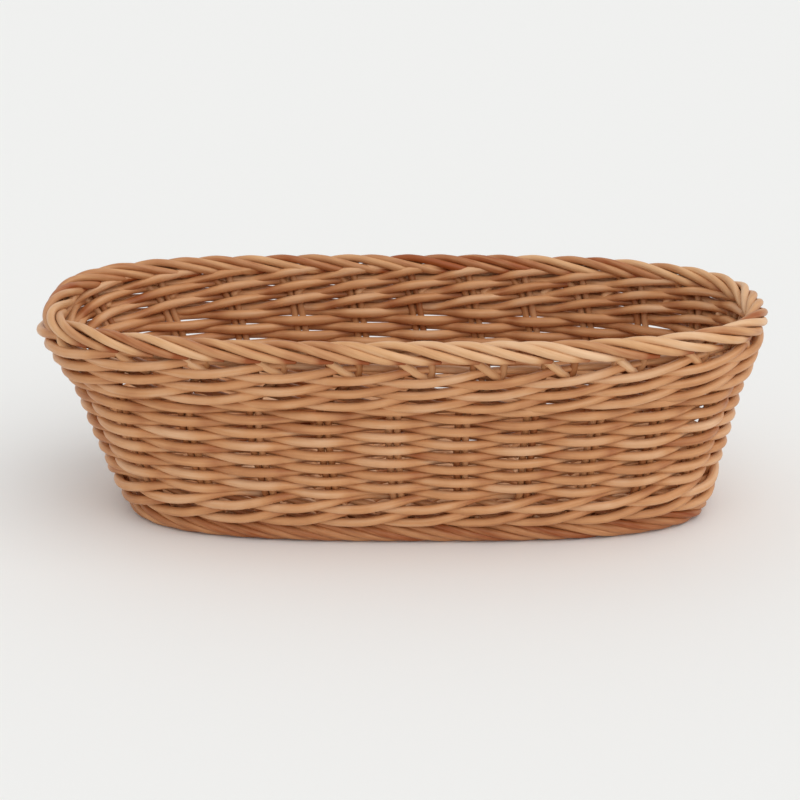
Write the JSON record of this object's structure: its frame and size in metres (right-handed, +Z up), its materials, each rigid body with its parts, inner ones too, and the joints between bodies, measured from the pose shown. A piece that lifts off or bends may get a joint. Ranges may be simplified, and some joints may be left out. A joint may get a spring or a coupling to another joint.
{
  "type": "bread basket",
  "caption": "Oval bread basket woven from round cane, with a flared wall, bands of waling above and below plain rows, a rolled rim and a rope foot.",
  "frame": {"origin": "middle of the bottom of the basket's bounding box, on the surface it stands on", "axes": "+X along the length, towards the steeper end; +Y along the width; +Z up"},
  "size_m": [0.4, 0.18, 0.1225],
  "materials": {
    "woven_cane": "extruded round polypropylene cane, honey tan with redder streaks, satin",
    "stake_cane": "the same cane, a shade darker where it stands inside the weave, satin",
    "border_cane": "the same cane in the rolled rim and the foot, a shade lighter, satin"
  },
  "bodies": {
    "root": {"stake_pair_1": "stake_cane", "stake_pair_2": "stake_cane", "stake_pair_3": "stake_cane", "stake_pair_4": "stake_cane", "stake_pair_5": "stake_cane", "stake_pair_6": "stake_cane", "stake_pair_7": "stake_cane", "stake_pair_8": "stake_cane", "stake_pair_9": "stake_cane", "stake_pair_10": "stake_cane", "stake_pair_11": "stake_cane", "stake_pair_12": "stake_cane", "stake_pair_13": "stake_cane", "stake_pair_14": "stake_cane", "stake_pair_15": "stake_cane", "stake_pair_16": "stake_cane", "stake_pair_17": "stake_cane", "stake_pair_18": "stake_cane", "stake_pair_19": "stake_cane", "stake_pair_20": "stake_cane", "stake_pair_21": "stake_cane", "stake_pair_22": "stake_cane", "stake_pair_23": "stake_cane", "stake_pair_24": "stake_cane", "stake_pair_25": "stake_cane", "lower_wale_1_strand_a": "woven_cane", "lower_wale_1_strand_b": "woven_cane", "lower_wale_1_strand_c": "woven_cane", "lower_wale_2_strand_a": "woven_cane", "lower_wale_2_strand_b": "woven_cane", "lower_wale_2_strand_c": "woven_cane", "upper_wale_1_strand_a": "woven_cane", "upper_wale_1_strand_b": "woven_cane", "upper_wale_1_strand_c": "woven_cane", "upper_wale_2_strand_a": "woven_cane", "upper_wale_2_strand_b": "woven_cane", "upper_wale_2_strand_c": "woven_cane", "upper_wale_3_strand_a": "woven_cane", "upper_wale_3_strand_b": "woven_cane", "upper_wale_3_strand_c": "woven_cane", "woven_row_1": "woven_cane", "woven_row_2": "woven_cane", "woven_row_3": "woven_cane", "woven_row_4": "woven_cane", "woven_row_5": "woven_cane", "woven_row_6": "woven_cane", "woven_row_7": "woven_cane", "woven_row_8": "woven_cane", "woven_row_9": "woven_cane", "woven_row_10": "woven_cane", "woven_row_11": "woven_cane", "woven_row_12": "woven_cane", "woven_row_13": "woven_cane", "woven_row_14": "woven_cane", "rolled_rim": "border_cane", "foot_rope": "border_cane", "base_panel": "woven_cane", "base_stick_1": "stake_cane", "base_stick_2": "stake_cane", "base_stick_3": "stake_cane"}
  },
  "joints": []
}
